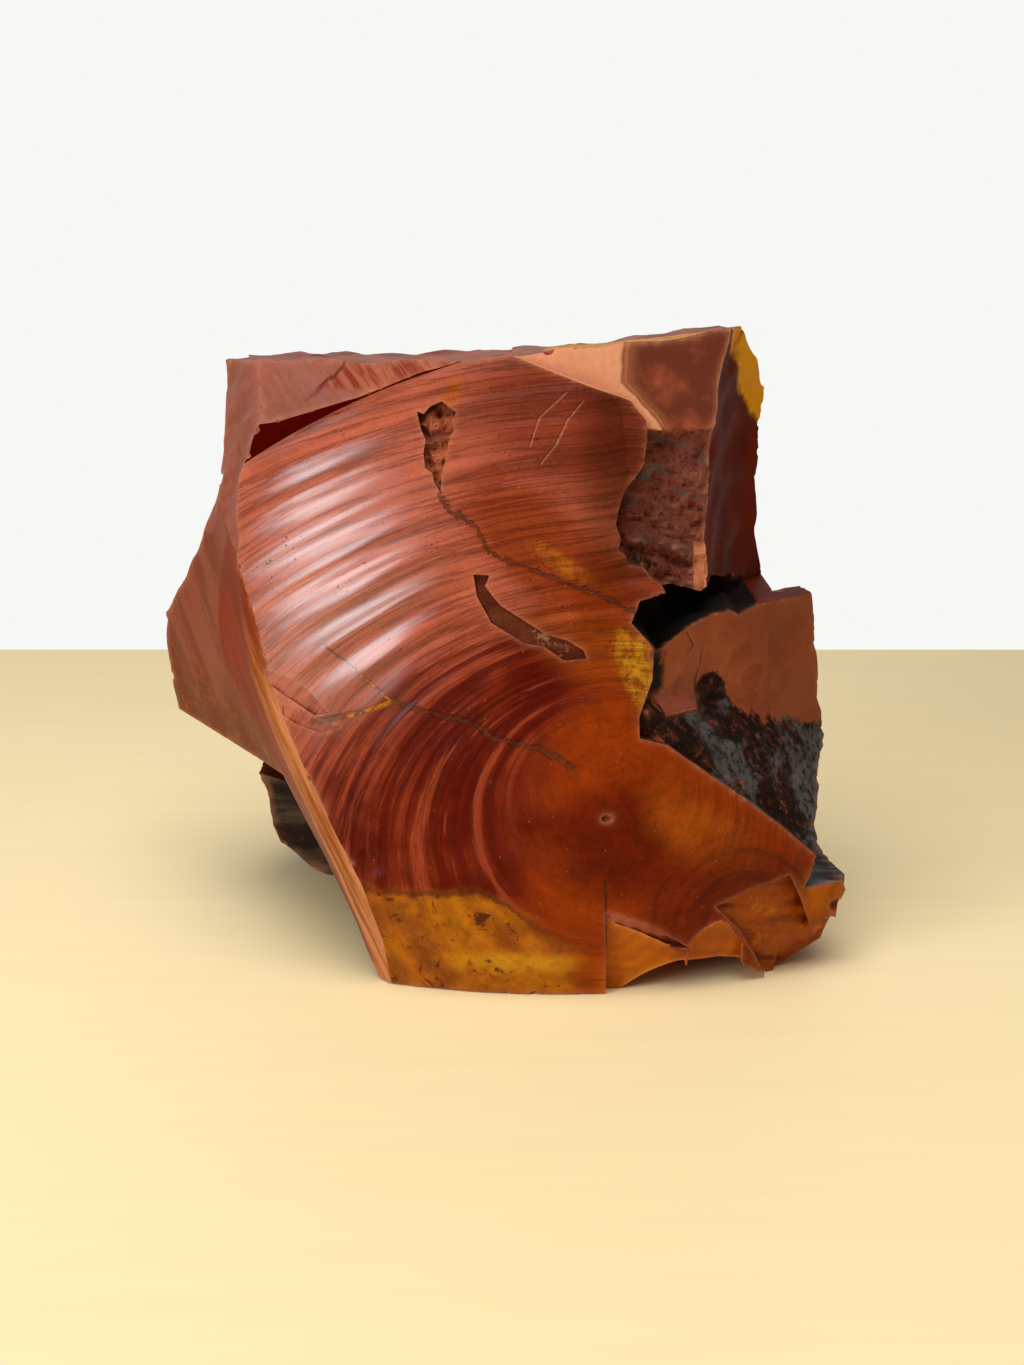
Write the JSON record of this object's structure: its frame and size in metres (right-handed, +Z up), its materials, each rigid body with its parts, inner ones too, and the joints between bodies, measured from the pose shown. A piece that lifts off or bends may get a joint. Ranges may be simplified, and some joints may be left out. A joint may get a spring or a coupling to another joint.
{
  "type": "rough mookaite jasper",
  "caption": "Hand-sized lump of rough jasper with a large rippled shell-like break, hollow side breaks, a crack and pockets of dark ironstone.",
  "frame": {"origin": "on the flat underside that the lump rests on, under its middle", "axes": "+Z up, the large rippled break faces -Y, +X to the right when facing that break"},
  "size_m": [0.0916, 0.068, 0.0829],
  "materials": {
    "jasper": "waxy gloss on the main break, satin on the older breaks"
  },
  "bodies": {
    "root": {"mookaite_stone": "jasper"}
  },
  "joints": []
}
